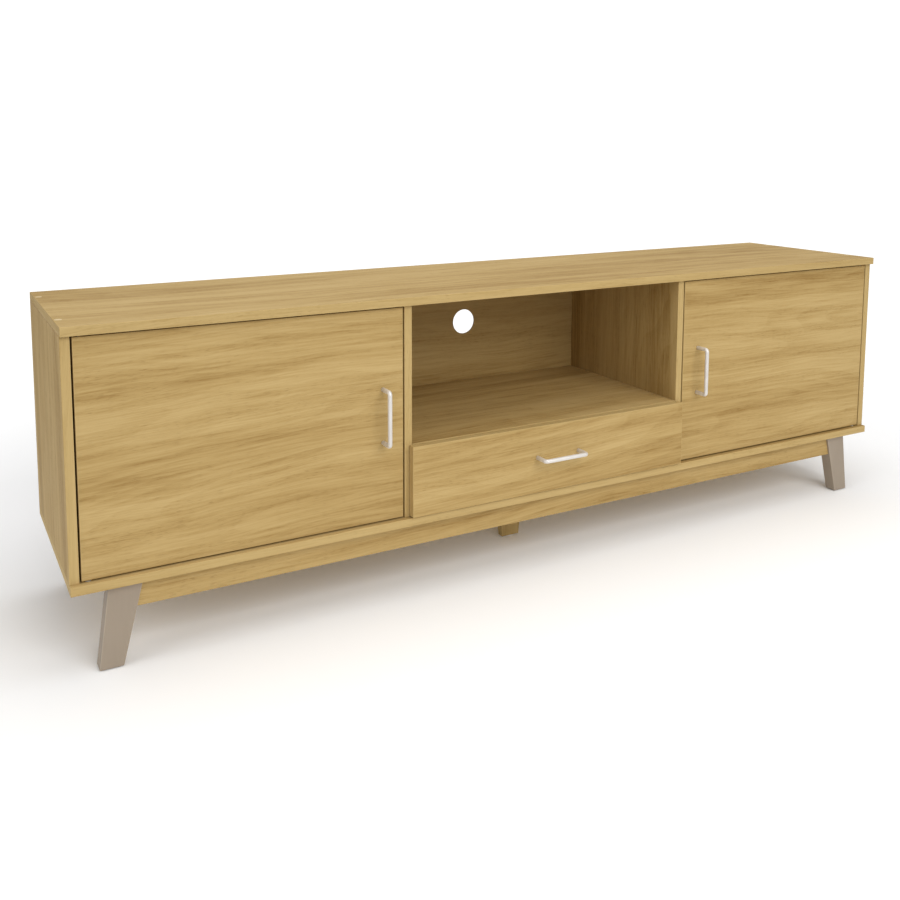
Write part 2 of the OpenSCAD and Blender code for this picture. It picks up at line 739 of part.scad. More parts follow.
module rear_rollers() color(PLASTIC) for (side = [LEFT, RIGHT]) at_runner(side) roller(rear_roller_y);

top_panel();
bottom_panel();
left_side_panel();
right_side_panel();
left_divider();
right_divider();
niche_shelf();
left_shelf();
right_shelf();
left_shelf_pins();
right_shelf_pins();
left_back_panel();
centre_back_panel();
right_back_panel();
front_apron();
front_left_leg();
front_right_leg();
rear_left_leg();
rear_right_leg();
centre_leg();
foot_glides();
leg_screws();
apron_screws();
top_screws();
screw_caps();
bottom_screws();
top_cam_bolts();
top_cams();
niche_shelf_screws();
carcass_dowels();
hinge_bushes();
magnetic_catches();
cabinet_runners();
cabinet_runner_screws();
front_rollers();
left_door();
left_door_handle();
left_handle_screws();
left_hinge_pins();
left_strike_plate();
right_door();
right_door_handle();
right_handle_screws();
right_hinge_pins();
right_strike_plate();
drawer_front();
drawer_left_side();
drawer_right_side();
drawer_back();
drawer_bottom();
drawer_handle();
drawer_handle_screws();
drawer_cam_bolts();
drawer_cams();
drawer_back_screws();
drawer_runners();
drawer_runner_screws();
rear_rollers();
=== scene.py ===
import math

import bmesh
import bpy
from mathutils import Matrix, Vector


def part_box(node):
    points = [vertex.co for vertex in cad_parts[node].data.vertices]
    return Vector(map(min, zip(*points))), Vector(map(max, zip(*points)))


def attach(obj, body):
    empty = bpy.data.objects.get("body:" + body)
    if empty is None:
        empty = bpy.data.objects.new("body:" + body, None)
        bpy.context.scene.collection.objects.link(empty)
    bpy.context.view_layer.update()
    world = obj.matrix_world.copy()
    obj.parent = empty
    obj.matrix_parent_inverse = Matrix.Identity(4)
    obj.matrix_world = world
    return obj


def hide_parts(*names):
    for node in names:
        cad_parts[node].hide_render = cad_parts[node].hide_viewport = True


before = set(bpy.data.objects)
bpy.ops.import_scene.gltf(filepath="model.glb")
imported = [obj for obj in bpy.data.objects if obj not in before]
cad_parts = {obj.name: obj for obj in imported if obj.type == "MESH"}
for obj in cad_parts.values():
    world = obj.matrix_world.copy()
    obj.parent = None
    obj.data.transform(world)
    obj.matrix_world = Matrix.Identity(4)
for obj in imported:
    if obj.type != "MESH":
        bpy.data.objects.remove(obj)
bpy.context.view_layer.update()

# ---- Top board ----
# One chipboard panel faced on both sides with printed oak paper. Its front and ends are lipped with a
# thin oak strip, rounded over by a trimmer, and its rear edge is left raw. The print runs lengthwise.

X, Y, Z = 0, 1, 2
FACE, LIPPING, CORE = 0, 1, 2
TOUCHING = 0.00002
WELD = 0.000001
FLAT_ANGLE = math.radians(1)
CURVED_LOW, CURVED_HIGH = 0.001, 0.35
SQUARE_ON = 0.99
BOARD_EASE = 0.0008
OTHER_SIDE = 3.1


class Signal:
    """One output in a finish's node tree, which adds and multiplies like a number."""

    def __init__(self, tree, socket=None):
        self.tree = tree
        self.socket = socket

    def node(self, kind, inputs, output=0, **settings):
        """Adds a node with its settings, sets or links its sockets, and gives one output."""
        made = self.tree.nodes.new("ShaderNode" + kind)
        for name, value in settings.items():
            if name == "stops":
                ramp = made.color_ramp.elements
                ramp[1].position = value[-1][0]
                ramp[1].color = value[-1][1]
                ramp[0].position = value[0][0]
                ramp[0].color = value[0][1]
                for position, colour in value[1:-1]:
                    ramp.new(position).color = colour
            else:
                setattr(made, name, value)
        for name, value in inputs.items():
            if isinstance(value, Signal):
                self.tree.links.new(value.socket, made.inputs[name])
            else:
                made.inputs[name].default_value = value
        return Signal(self.tree, made.outputs[output])

    def __add__(self, other):
        return self.node("Math", {0: self, 1: other}, operation="ADD")

    def __sub__(self, other):
        return self.node("Math", {0: self, 1: other}, operation="SUBTRACT")

    def __mul__(self, other):
        return self.node("Math", {0: self, 1: other}, operation="MULTIPLY")

    def __rsub__(self, other):
        return self.node("Math", {0: other, 1: self}, operation="SUBTRACT")

    __radd__ = __add__
    __rmul__ = __mul__

    def rise(self, low, high):
        """0 below the low value, 1 above the high one, and smooth between them."""
        settings = {"Value": self, "From Min": low, "From Max": high}
        return self.node("MapRange", settings, interpolation_type="SMOOTHSTEP")

    def noise(self, stretch, detail=2.0, roughness=0.5, flat=True):
        """Cloudy noise on a place, with so many clouds to the metre along each axis."""
        spread = self.node("VectorMath", {0: self, 1: stretch}, operation="MULTIPLY")
        inputs = {"Vector": spread, "Scale": 1.0, "Detail": detail, "Roughness": roughness}
        return self.node("TexNoise", inputs, noise_dimensions="2D" if flat else "3D")

    def cloud(self, density, detail=2.0, roughness=0.5):
        """Noise through a solid, with so many clouds to the metre in every direction."""
        return self.noise((density, density, density), detail, roughness, flat=False)

    def on_piece(self):
        """The place on the piece itself, in metres."""
        return self.node("TexCoord", {}, output=3)

    def on_print(self):
        """The place on the printed sheet that covers a board, in metres."""
        return self.node("UVMap", {}, uv_map="print")

    def shifted(self, across):
        """The same place, moved along Y by a value."""
        step = self.node("CombineXYZ", {"Y": across})
        return self.node("VectorMath", {0: self, 1: step}, operation="ADD")

    def blend(self, first, second):
        """The first colour where this is 0 and the second where it is 1."""
        return self.node("Mix", {0: self, 6: first, 7: second}, output=2, data_type="RGBA")

    def bump(self, strength, depth):
        """The surface's direction, pushed about by this height."""
        return self.node("Bump", {"Height": self, "Strength": strength, "Distance": depth})


def ink(red, green, blue):
    """A colour given as red, green and blue bytes, in the renderer's linear values."""
    return tuple((part / 255) ** 2.2 for part in (red, green, blue)) + (1.0,)


def new_finish(name):
    """A material, and a start for its nodes."""
    made = bpy.data.materials.new(name)
    made.use_nodes = True
    return made, Signal(made.node_tree)


def paint(finish, **sockets):
    """Sets or links the shader's own sockets."""
    shader = finish.node_tree.nodes["Principled BSDF"]
    for name, value in sockets.items():
        socket = shader.inputs[name.replace("_", " ")]
        if isinstance(value, Signal):
            finish.node_tree.links.new(value.socket, socket)
        else:
            socket.default_value = value


def printed_oak(name, light, middle, dark, pore, figure=1.0):
    """Oak printed on paper under clear resin: broad bands, streaks, growth lines, hairs and open pores."""
    finish, start = new_finish(name)
    place = start.on_print()
    drift = place.noise((0.75, 2.4, 1.0), 1.0)
    swell = place.noise((4.5, 17.0, 1.0), 1.0)
    fibres = place.shifted((drift - 0.5) * 0.09 + (swell - 0.5) * 0.010)
    bands = fibres.noise((0.7, 8.0, 1.0), 2.5, 0.55).rise(0.36, 0.68)
    streaks = fibres.noise((1.7, 44.0, 1.0), 4.0, 0.6).rise(0.34, 0.7)
    hairs = fibres.noise((9.0, 300.0, 1.0), 3.0, 0.6).rise(0.3, 0.72)
    strokes = fibres.noise((12.0, 230.0, 1.0), 2.0).rise(0.54, 0.70)
    threads = fibres.noise((60.0, 1500.0, 1.0), 2.0)
    across = fibres.node("SeparateXYZ", {0: fibres}, output=1)
    growth = across * 36.0 + fibres.noise((0.8, 6.5, 1.0), 1.5) * 15.0
    line = growth.node("Math", {0: growth}, operation="FRACT")
    rings = line.rise(0.15, 0.95) * (1.0 - line.rise(0.95, 1.0))
    speckle = fibres.noise((60.0, 1100.0, 1.0), 1.0).rise(0.62, 0.74)
    pores = speckle * (streaks * 0.6 + rings * 0.25 + 0.08)
    tone = bands * (0.29 * figure) + streaks * (0.26 * figure) + rings * (0.10 * figure)
    tone = tone + hairs * 0.20 + threads * 0.06 + strokes * (streaks * 0.10 + 0.05)
    colour = tone.node("ValToRGB", {"Fac": tone}, stops=[(0.08, light), (0.45, middle), (0.92, dark)])
    colour = (pores * 0.45).blend(colour, pore)
    height = 1.0 - pores - hairs * 0.25 - threads * 0.2
    paint(
        finish,
        Base_Color=colour,
        Roughness=hairs * 0.08 + pores * 0.2 + 0.5,
        Specular_IOR_Level=0.08,
        Normal=height.bump(0.35, 0.00012),
    )
    return finish


def chipboard(name):
    """Pressed wood chips, light and dark, with a crumbly cut surface."""
    finish, start = new_finish(name)
    place = start.on_piece()
    chips = place.node("TexVoronoi", {"Vector": place, "Scale": 520.0}, output=1)
    shade = chips.node("SeparateColor", {0: chips})
    dust = place.cloud(900.0, 3.0, 0.6)
    tone = shade * 0.7 + dust * 0.3
    stops = [(0.1, ink(128, 96, 62)), (0.5, ink(172, 138, 96)), (0.9, ink(206, 176, 132))]
    paint(
        finish,
        Base_Color=tone.node("ValToRGB", {"Fac": tone}, stops=stops),
        Roughness=dust * 0.1 + 0.8,
        Normal=tone.bump(0.6, 0.0003),
    )
    return finish


oak_face = printed_oak(
    "oak_face", ink(188, 161, 110), ink(174, 146, 95), ink(145, 115, 67), ink(108, 78, 42)
)
oak_lipping = printed_oak(
    "oak_lipping", ink(188, 162, 111), ink(176, 149, 98), ink(154, 125, 77), ink(118, 89, 50), 0.6
)
raw_core = chipboard("raw_chipboard")


def clean_shape(node):
    """The shape of a CAD piece, welded and with its flat faces whole."""
    shape = bmesh.new()
    shape.from_mesh(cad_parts[node].data)
    bmesh.ops.remove_doubles(shape, verts=shape.verts, dist=WELD)
    bmesh.ops.dissolve_limit(shape, angle_limit=FLAT_ANGLE, verts=shape.verts, edges=shape.edges)
    return shape


def round_over(shape, edges, width, steps):
    """Rounds edges over by a width. The rounded strips get slot 1, and only round faces are smooth."""
    for face in shape.faces:
        turns = [edge.calc_face_angle(0.0) for edge in face.edges]
        face.material_index = 0
        face.smooth = any(CURVED_LOW < turn < CURVED_HIGH for turn in turns)
    bmesh.ops.bevel(
        shape, geom=edges, offset=width, offset_type="OFFSET", segments=steps, profile=0.5,
        affect="EDGES", clamp_overlap=True, material=1,
    )
    for face in shape.faces:
        if face.material_index == 1:
            face.smooth = True


def finished(name, shape, body, nodes, slot, *finishes):
    """Makes a shape a piece that rides on a body in place of its CAD pieces."""
    mesh = bpy.data.meshes.new(name)
    shape.to_mesh(mesh)
    shape.free()
    for finish in finishes:
        mesh.materials.append(finish)
    made = bpy.data.objects.new(name, mesh)
    bpy.context.scene.collection.objects.link(made)
    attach(made, body)
    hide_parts(*nodes)
    return made


def board_shape(node, thick, grain, start, raw, ease):
    """A lipped board: the CAD shape with its outline rounded over and the print laid along its grain."""
    low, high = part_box(node)
    shape = clean_shape(node)
    cross = X + Y + Z - thick - grain
    outside = [(axis, end[axis]) for axis in (X, Y, Z) for end in (low, high)]

    def sides(verts):
        """The sides of the board's box that all these corners lie on."""
        found = set()
        for axis, end in outside:
            if all(abs(vert.co[axis] - end) < ease + TOUCHING for vert in verts):
                found.add((axis, 1 if end == high[axis] else -1))
        return found

    rims = [edge for edge in shape.edges if len(sides(edge.verts)) == 2]
    round_over(shape, rims, ease, 3)
    laid = shape.loops.layers.uv.new("print")
    for face in shape.faces:
        facing = max((cross, grain), key=lambda axis: abs(face.normal[axis]))
        on = sides(face.verts)
        edge_side = (facing, 1 if face.normal[facing] > 0 else -1)
        flat_on = abs(face.normal[thick]) > SQUARE_ON
        if flat_on and ((thick, 1) in on or (thick, -1) in on):
            face.material_index = FACE
            along, over = grain, cross
        elif edge_side in on and edge_side not in raw:
            face.material_index = LIPPING
            along, over = (grain, thick) if facing == cross else (cross, thick)
        else:
            face.material_index = CORE
            along, over = grain, cross
        sheet = OTHER_SIDE if face.normal[thick] < 0 else 0.0
        for loop in face.loops:
            spot = loop.vert.co
            loop[laid].uv = (spot[along] + start[0], spot[over] + start[1] + sheet)
    return shape


def board(node, body, thick, grain, start, raw=()):
    """A lipped and faced board, with its own part of the printed sheet."""
    shape = board_shape(node, thick, grain, start, raw, BOARD_EASE)
    return finished(
        node + "_board", shape, body, [node], "oak_laminate", oak_face, oak_lipping, raw_core
    )


REAR = (Y, 1)
board("top_panel", "carcass", Z, X, (0.35, 0.90), raw={REAR})

# ---- Bottom board ----
# The same faced chipboard as the top. The uprights stand on it, and the legs and the apron are screwed
# on from inside.

board("bottom_panel", "carcass", Z, X, (2.15, 1.70), raw={REAR})

# ---- Side panels and dividers ----
# Four faced uprights with their print running upwards. Only their front edges are lipped, and dowels
# and screws hold them between the top and the bottom.

ENDS_AND_REAR = {REAR, (Z, 1), (Z, -1)}
board("left_side_panel", "carcass", X, Z, (4.10, 0.25), raw=ENDS_AND_REAR)
board("right_side_panel", "carcass", X, Z, (5.25, 2.15), raw=ENDS_AND_REAR)
board("left_divider", "carcass", X, Z, (6.40, 1.35), raw=ENDS_AND_REAR)
board("right_divider", "carcass", X, Z, (7.60, 0.55), raw=ENDS_AND_REAR)

# ---- Shelves ----
# The niche's floor is screwed between the dividers. A loose shelf in each cupboard lies on four steel
# pins. Their front edges alone are lipped.

ALL_BUT_FRONT = {REAR, (X, 1), (X, -1)}
board("niche_shelf", "carcass", Z, X, (1.20, 2.60), raw=ALL_BUT_FRONT)
board("left_shelf", "carcass", Z, X, (3.40, 0.40), raw=ALL_BUT_FRONT)
board("right_shelf", "carcass", Z, X, (0.10, 3.30), raw=ALL_BUT_FRONT)


def plated_steel(name, colour, roughness):
    """Steel with a thin zinc plating, which clouds a little as it ages."""
    finish, start = new_finish(name)
    place = start.on_piece()
    clouds = place.cloud(180.0, 3.0, 0.6)
    marks = place.cloud(2200.0)
    clouded = 0.72
    dull = tuple(part * clouded for part in colour[:3]) + (1.0,)
    paint(
        finish,
        Base_Color=clouds.rise(0.35, 0.7).blend(colour, dull),
        Metallic=1.0,
        Roughness=clouds * 0.14 + roughness,
        Normal=marks.bump(0.15, 0.00004),
    )
    return finish


zinc = plated_steel("zinc_plated_steel", ink(214, 213, 207), 0.36)
SHARP_ANGLE = 0.6


def sharp_edges(shape):
    """The edges where two faces meet at a clear angle."""
    return [edge for edge in shape.edges if edge.calc_face_angle(0.0) > SHARP_ANGLE]


def eased_shape(node, width, steps=2):
    """A CAD shape with every sharp edge rounded over by a width."""
    shape = clean_shape(node)
    round_over(shape, sharp_edges(shape), width, steps)
    for face in shape.faces:
        face.material_index = 0
    return shape


def eased_piece(name, node, body, slot, finish, width, steps=2):
    """A CAD piece with its sharp edges rounded over by a width, in one finish."""
    finished(name, eased_shape(node, width, steps), body, [node], slot, finish)


PIN_EASE = 0.0005
for side in ("left", "right"):
    pins = side + "_shelf_pins"
    eased_piece(side + "_steel_pins", pins, "carcass", "zinc_steel", zinc, PIN_EASE)

# ---- Back panels ----
# Three thin hardboard sheets slid into the grooves, with the oak print on the side that faces the room
# and bare brown board behind. The middle one has a round hole for cables.


def hardboard(name):
    """Brown pressed fibre with the screen pattern of the press on its rough side."""
    finish, start = new_finish(name)
    place = start.on_piece()
    clouds = place.cloud(14.0, 4.0, 0.6)
    fluff = place.cloud(700.0, 3.0, 0.65)
    weave = {"Vector": place, "Scale": 230.0}
    wires = place.node("TexWave", weave, output=1, bands_direction="X")
    bars = place.node("TexWave", weave, output=1, bands_direction="Z")
    screen = wires * bars
    tone = clouds * 0.5 + fluff * 0.35 + screen * 0.15
    stops = [(0.2, ink(104, 76, 50)), (0.5, ink(132, 99, 67)), (0.85, ink(158, 124, 88))]
    paint(
        finish,
        Base_Color=tone.node("ValToRGB", {"Fac": tone}, stops=stops),
        Roughness=fluff * 0.1 + 0.76,
        Normal=(screen + fluff * 0.5).bump(0.5, 0.0002),
    )
    return finish


BROWN = 1
SHEET_EASE = 0.0002
ALL_EDGES = ALL_BUT_FRONT | {(Z, 1), (Z, -1)}
brown_board = hardboard("hardboard_back")
for node, start in (
    ("left_back_panel", (6.2, 2.2)),
    ("centre_back_panel", (4.7, 2.95)),
    ("right_back_panel", (5.6, 4.4)),
):
    sheet = board_shape(node, Y, X, start, ALL_EDGES, SHEET_EASE)
    for face in sheet.faces:
        if face.material_index != FACE or face.normal.y > 0:
            face.material_index = BROWN
    finished(node + "_sheet", sheet, "carcass", [node], "oak_back", oak_face, brown_board)

# ---- Apron ----
# A faced rail under the front edge of the bottom board, cut at its ends to the lean of the legs, with
# its lower edge lipped.

board("front_apron", "carcass", Y, X, (3.05, 3.75), raw={(Z, 1)})

# ---- Legs ----
# Four flat tapered legs of solid wood, leaning outwards, with all their edges rounded and a coat of
# taupe satin lacquer. Their rounded edges are coloured a little lighter, as a painted highlight. Long
# screws from inside the cabinet hold each one.


def satin_lacquer(name, colour, worn):
    """Sprayed satin lacquer over close grain, a little thinner and lighter in random patches."""
    finish, start = new_finish(name)
    place = start.on_piece()
    clouds = place.noise((9.0, 9.0, 5.0), 3.0, 0.55, flat=False)
    grain = place.noise((420.0, 420.0, 22.0), 3.0, 0.6, flat=False)
    peel = place.cloud(1100.0, 1.0)
    tone = clouds.rise(0.3, 0.7) * 0.45 + grain * 0.4
    paint(
        finish,
        Base_Color=tone.blend(colour, worn),
        Roughness=clouds * 0.1 + grain * 0.08 + 0.36,
        Normal=(grain * 0.6 + peel * 0.4).bump(0.25, 0.0002),
    )
    return finish


taupe = satin_lacquer("taupe_lacquer", ink(143, 129, 112), ink(156, 142, 125))
# A lighter copy of the lacquer for the legs' rounded edges: a painted highlight, not wear.
taupe_painted_highlight = satin_lacquer("taupe_lacquer_painted_highlight", ink(152, 138, 121), ink(170, 157, 140))
LEG_EASE = 0.0014

# Edges shorter than this belong to the screw holes and stay sharp.
HOLE_EDGE = 0.012

for leg in ("front_left_leg", "front_right_leg", "rear_left_leg", "rear_right_leg"):
    shape = clean_shape(leg)
    rims = [edge for edge in sharp_edges(shape) if edge.calc_length() > HOLE_EDGE]
    round_over(shape, rims, LEG_EASE, 4)
    finished(leg + "_lacquered", shape, "carcass", [leg], "taupe_paint", taupe, taupe_painted_highlight)

# ---- Centre leg ----
# A short tapered piece of the same faced board as the cabinet, lipped at its sides. It stands under
# the middle of the bottom board, set back, and screws from inside hold it.

CENTRE_LEG_EASE = 0.0006
LEANING_SIDE = 0.9
centre_leg = board_shape("centre_leg", Y, Z, (1.4, 5.2), set(), CENTRE_LEG_EASE)
for face in centre_leg.faces:
    if face.material_index == CORE and abs(face.normal.x) > LEANING_SIDE:
        face.material_index = LIPPING
finished(
    "centre_leg_board", centre_leg, "carcass", ["centre_leg"], "oak_back",
    oak_face, oak_lipping, raw_core,
)

# ---- Glides ----
# Round pads of white nylon moulded on a nail. One is knocked into the foot of each leg and keeps the
# wood off the floor.


def moulded_plastic(name, colour, shade):
    """Injection-moulded plastic, nearly even in colour, with a fine spark-eroded skin."""
    finish, start = new_finish(name)
    place = start.on_piece()
    clouds = place.cloud(60.0)
    skin = place.cloud(3000.0)
    paint(
        finish,
        Base_Color=clouds.rise(0.3, 0.7).blend(colour, shade),
        Roughness=skin * 0.1 + 0.36,
        Normal=skin.bump(0.2, 0.00005),
    )
    return finish


nylon = moulded_plastic("white_nylon", ink(232, 230, 223), ink(222, 219, 210))
PAD_EASE = 0.0005
eased_piece("foot_pads", "foot_glides", "carcass", "white_plastic", nylon, PAD_EASE)

# ---- Screws ----
# Zinc-plated chipboard screws with a flat head and a cross recess, each driven flush with its board,
# and pan-headed machine screws that hold the handles from behind.

HEAD_SEGMENTS = 32
CROSS_REACH = 0.5
CROSS_ARM = 0.22
FLAT_REACH = 0.8
RECESS_DEPTH = 0.6
RECESS_TAPER = 0.55
RIM_REACH = 0.96
RIM_DOME = 0.6
RIM_DROP = 0.00005
EDGE_DOME = 0.2
EDGE_DROP = 0.0002
EDGE_DEPTH = 0.3
TIP_START = 0.86
TIP_WIDTH = 0.08
NEARLY_FLAT = 0.98
WOOD_SCREW = (0.0095, 0.003, 0.005)


def solid_boxes(node):
    """The box round each separate solid of a CAD piece."""
    shape = clean_shape(node)
    left = set(shape.verts)
    boxes = []
    while left:
        found = [left.pop()]
        for vert in found:
            for edge in vert.link_edges:
                other = edge.other_vert(vert)
                if other in left:
                    left.remove(other)
                    found.append(other)
        low = Vector([min(vert.co[axis] for vert in found) for axis in (X, Y, Z)])
        high = Vector([max(vert.co[axis] for vert in found) for axis in (X, Y, Z)])
        boxes.append((low, high))
    shape.free()
    return sorted(boxes, key=lambda box: tuple(box[0]))


def each_once(parts):
    """The parts in their own order, each of them once."""
    return list(dict.fromkeys(parts))


def cross_recess(shape, size, rim_radius, height):
    """A flat disc at a height with the outline of a cross in it. Gives the disc's rim and the cross."""
    arm = size * CROSS_ARM
    outline = [(arm, size), (-arm, size), (-arm, arm), (-size, arm), (-size, -arm), (-arm, -arm)]
    outline += [(-x, -y) for x, y in outline]
    cross = shape.faces.new([shape.verts.new((x, y, height)) for x, y in outline])
    cross_edges = list(cross.edges)
    ring = bmesh.ops.create_circle(shape, segments=HEAD_SEGMENTS, radius=rim_radius)["verts"]
    bmesh.ops.translate(shape, verts=ring, vec=(0, 0, height))
    rim = each_once(edge for vert in ring for edge in vert.link_edges)
    bmesh.ops.bridge_loops(shape, edges=cross_edges + rim)
    floor = bmesh.ops.extrude_discrete_faces(shape, faces=[cross])["faces"]
    return rim, floor[0]


def corners_and_edges(parts):
    """The corners and the edges among the new parts of a shape."""
    corners = [part for part in parts if isinstance(part, bmesh.types.BMVert)]
    edges = [part for part in parts if isinstance(part, bmesh.types.BMEdge)]
    return corners, edges


def driven_screw(shape, place, head, head_depth, shank, length, dome=0.0):
    """A screw with its head's top at the place's origin, pointing down its Z axis."""
    single = bmesh.new()
    radius = head / 2
    edges, floor = cross_recess(single, radius * CROSS_REACH, radius * FLAT_REACH, dome)
    walls = bmesh.ops.extrude_face_region(single, geom=[floor])["geom"]
    sunk = corners_and_edges(walls)[0]
    bmesh.ops.translate(single, verts=sunk, vec=(0, 0, -head_depth * RECESS_DEPTH))
    bmesh.ops.scale(single, verts=sunk, vec=(RECESS_TAPER, RECESS_TAPER, 1.0))
    for size, depth in (
        (radius * RIM_REACH, dome * RIM_DOME - RIM_DROP),
        (radius, dome * EDGE_DOME - EDGE_DROP),
        (radius, -head_depth * EDGE_DEPTH - EDGE_DROP),
        (shank / 2, -head_depth),
        (shank / 2, -length * TIP_START),
        (shank * TIP_WIDTH, -length),
    ):
        step = bmesh.ops.extrude_edge_only(single, edges=edges)["geom"]
        corners, edges = corners_and_edges(step)
        for vert in corners:
            flat = Vector((vert.co.x, vert.co.y)).normalized() * size
            vert.co = (flat.x, flat.y, depth)
    bmesh.ops.contextual_create(single, geom=edges)
    bmesh.ops.remove_doubles(single, verts=single.verts, dist=WELD / 2)
    bmesh.ops.recalc_face_normals(single, faces=single.faces)
    for face in single.faces:
        face.smooth = len(face.verts) == 4 and abs(face.normal.z) < NEARLY_FLAT
    bmesh.ops.transform(single, matrix=place, verts=single.verts)
    mesh = bpy.data.meshes.new("screw")
    single.to_mesh(mesh)
    single.free()
    shape.from_mesh(mesh)
    bpy.data.meshes.remove(mesh)


def turned_to(direction):
    """The turn that points the Z axis along a direction."""
    return direction.to_track_quat("Z", "Y").to_matrix().to_4x4()


def screw_set(name, node, body, axis, way, sizes, dome=0.0):
    """Screws in place of a CAD set, whose heads look along an axis, one way or outwards from the middle.

    The sizes are the head's width, the head's depth and the shank's width.
    """
    head, head_depth, shank = sizes
    shape = bmesh.new()
    for low, high in solid_boxes(node):
        middle = (low + high) / 2
        sense = way or (1 if middle[axis] > 0 else -1)
        top = middle.copy()
        top[axis] = high[axis] if sense > 0 else low[axis]
        length = high[axis] - low[axis]
        facing = Vector([sense if part == axis else 0 for part in (X, Y, Z)])
        place = Matrix.Translation(top - facing * dome) @ turned_to(facing)
        driven_screw(shape, place, head, head_depth, shank, length - dome, dome)
    return finished(name, shape, body, [node], "zinc_steel", zinc)


screw_set("leg_wood_screws", "leg_screws", "carcass", Z, 1, WOOD_SCREW)
screw_set("apron_wood_screws", "apron_screws", "carcass", Z, 1, WOOD_SCREW)
screw_set("bottom_wood_screws", "bottom_screws", "carcass", Z, -1, WOOD_SCREW)
screw_set("top_wood_screws", "top_screws", "carcass", Z, 1, WOOD_SCREW)

# ---- Cover caps ----
# Thin discs moulded in plastic, a shade lighter than the oak. One is pressed over the head of each of
# the four screws in the top board.

cap_finish = moulded_plastic("oak_coloured_cap", ink(208, 186, 140), ink(200, 177, 130))
CAP_EASE = 0.0003
eased_piece("cover_caps", "screw_caps", "carcass", "oak_cap", cap_finish, CAP_EASE, 3)

# ---- Niche shelf screws, cams and dowels ----
# Screws through the dividers hold the niche shelf. Zinc cam locks in the dividers pull steel bolts down
# from the top board, and beech dowels keep every upright in line.

screw_set("niche_wood_screws", "niche_shelf_screws", "carcass", X, 0, WOOD_SCREW)

CAM_HEAD = 0.8
CAM_SIDE = 0.98


def cam_set(name, node, body, way):
    """Cam locks whose faces look along X, outwards or inwards from the middle, with a cross and a rim."""
    shape = bmesh.new()
    for low, high in solid_boxes(node):
        sense = way if (low + high)[X] > 0 else -way
        width = high.z - low.z
        depth = high.x - low.x
        centre = (low + high) / 2
        centre.x = high.x if sense > 0 else low.x
        place = Matrix.Translation(centre) @ turned_to(Vector((sense, 0, 0)))
        driven_screw(shape, place, width, depth * CAM_HEAD, width * CAM_SIDE, depth)
    return finished(name, shape, body, [node], "zinc_steel", zinc)


cam_set("divider_cams", "top_cams", "carcass", 1)


def beech_wood(name):
    """Turned beech, close and pale, with fine dark flecks."""
    finish, start = new_finish(name)
    place = start.on_piece()
    grain = place.noise((260.0, 260.0, 30.0), 3.0, 0.6, flat=False)
    flecks = place.noise((900.0, 900.0, 240.0), 1.0, 0.5, flat=False).rise(0.6, 0.68)
    tone = grain.rise(0.3, 0.7).blend(ink(226, 194, 148), ink(205, 168, 120))
    paint(
        finish,
        Base_Color=(flecks * 0.6).blend(tone, ink(164, 118, 74)),
        Roughness=grain * 0.1 + 0.58,
        Normal=grain.bump(0.3, 0.0001),
    )
    return finish


def dressed(node, finish):
    """Gives a CAD piece that is shown as it is its finish."""
    cad_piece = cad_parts[node]
    for holder in cad_piece.material_slots:
        holder.material = finish


dressed("carcass_dowels", beech_wood("beech"))
dressed("top_cam_bolts", zinc)

# ---- Hinge bushes and catches ----
# Nylon bushes pressed into the top and bottom boards take the doors' pins. A magnetic catch under the
# top board is a nylon housing with two steel pole plates at its front.

BUSH_EASE = 0.0003
eased_piece("pivot_bushes", "hinge_bushes", "carcass", "white_plastic", nylon, BUSH_EASE)


def add_block(shape, low, high, ease, slot):
    """A box between two corners, with its edges rounded over and its faces in a material slot."""
    made = bmesh.ops.create_cube(shape, size=1)["verts"]
    bmesh.ops.scale(shape, vec=high - low, verts=made)
    bmesh.ops.translate(shape, vec=(low + high) / 2, verts=made)
    for face in each_once(face for vert in made for face in vert.link_faces):
        face.material_index = slot
    edges = each_once(edge for vert in made for edge in vert.link_edges)
    bmesh.ops.bevel(
        shape, geom=edges, offset=ease, segments=3, profile=0.5, affect="EDGES", material=-1
    )


HOUSING, POLES = 0, 1
HOUSING_EASE = 0.0008
POLE_EASE = 0.0002
POLE_PROUD = 0.0004
POLE_THICK = 0.0014
POLE_SIDE = 0.004
POLE_REAR = 0.002
POLE_LEVELS = (0.27, 0.73)
catches = bmesh.new()
for low, high in solid_boxes("magnetic_catches"):
    add_block(catches, low + Vector((0, POLE_PROUD, 0)), high, HOUSING_EASE, HOUSING)
    for share in POLE_LEVELS:
        level = low.z + (high.z - low.z) * share
        plate_low = Vector((low.x + POLE_SIDE, low.y, level - POLE_THICK / 2))
        plate_high = Vector((high.x - POLE_SIDE, high.y - POLE_REAR, level + POLE_THICK / 2))
        add_block(catches, plate_low, plate_high, POLE_EASE, POLES)
finished("door_catches", catches, "carcass", ["magnetic_catches"], "white_plastic", nylon, zinc)

# ---- Cabinet runners ----
# Bent steel channels with a white powder coat, screwed to the dividers. Each carries a nylon roller at
# its front, on a riveted axle.


def powder_coat(name, colour, shade):
    """Baked powder paint with a fine orange peel."""
    finish, start = new_finish(name)
    place = start.on_piece()
    clouds = place.cloud(25.0)
    peel = place.cloud(650.0)
    paint(
        finish,
        Base_Color=clouds.rise(0.3, 0.7).blend(colour, shade),
        Roughness=clouds * 0.08 + 0.3,
        Normal=peel.bump(0.3, 0.00025),
    )
    return finish


white_coat = powder_coat("white_powder_coat", ink(229, 226, 217), ink(219, 215, 204))
BENT_STEEL_EASE = 0.0002
ROLLER_EASE = 0.0008
RUNNER_SCREW = (0.0064, 0.0009, 0.0035)
eased_piece(
    "cabinet_channels", "cabinet_runners", "carcass", "white_runner", white_coat, BENT_STEEL_EASE
)
eased_piece(
    "front_nylon_rollers", "front_rollers", "front_roller_pair", "white_plastic", nylon,
    ROLLER_EASE, 3,
)
screw_set("channel_screws", "cabinet_runner_screws", "carcass", X, 0, RUNNER_SCREW)

# ---- Doors ----
# Two slabs of the faced chipboard, lipped on all four edges, with their print running across. They turn
# on steel pins set in their top and bottom edges.

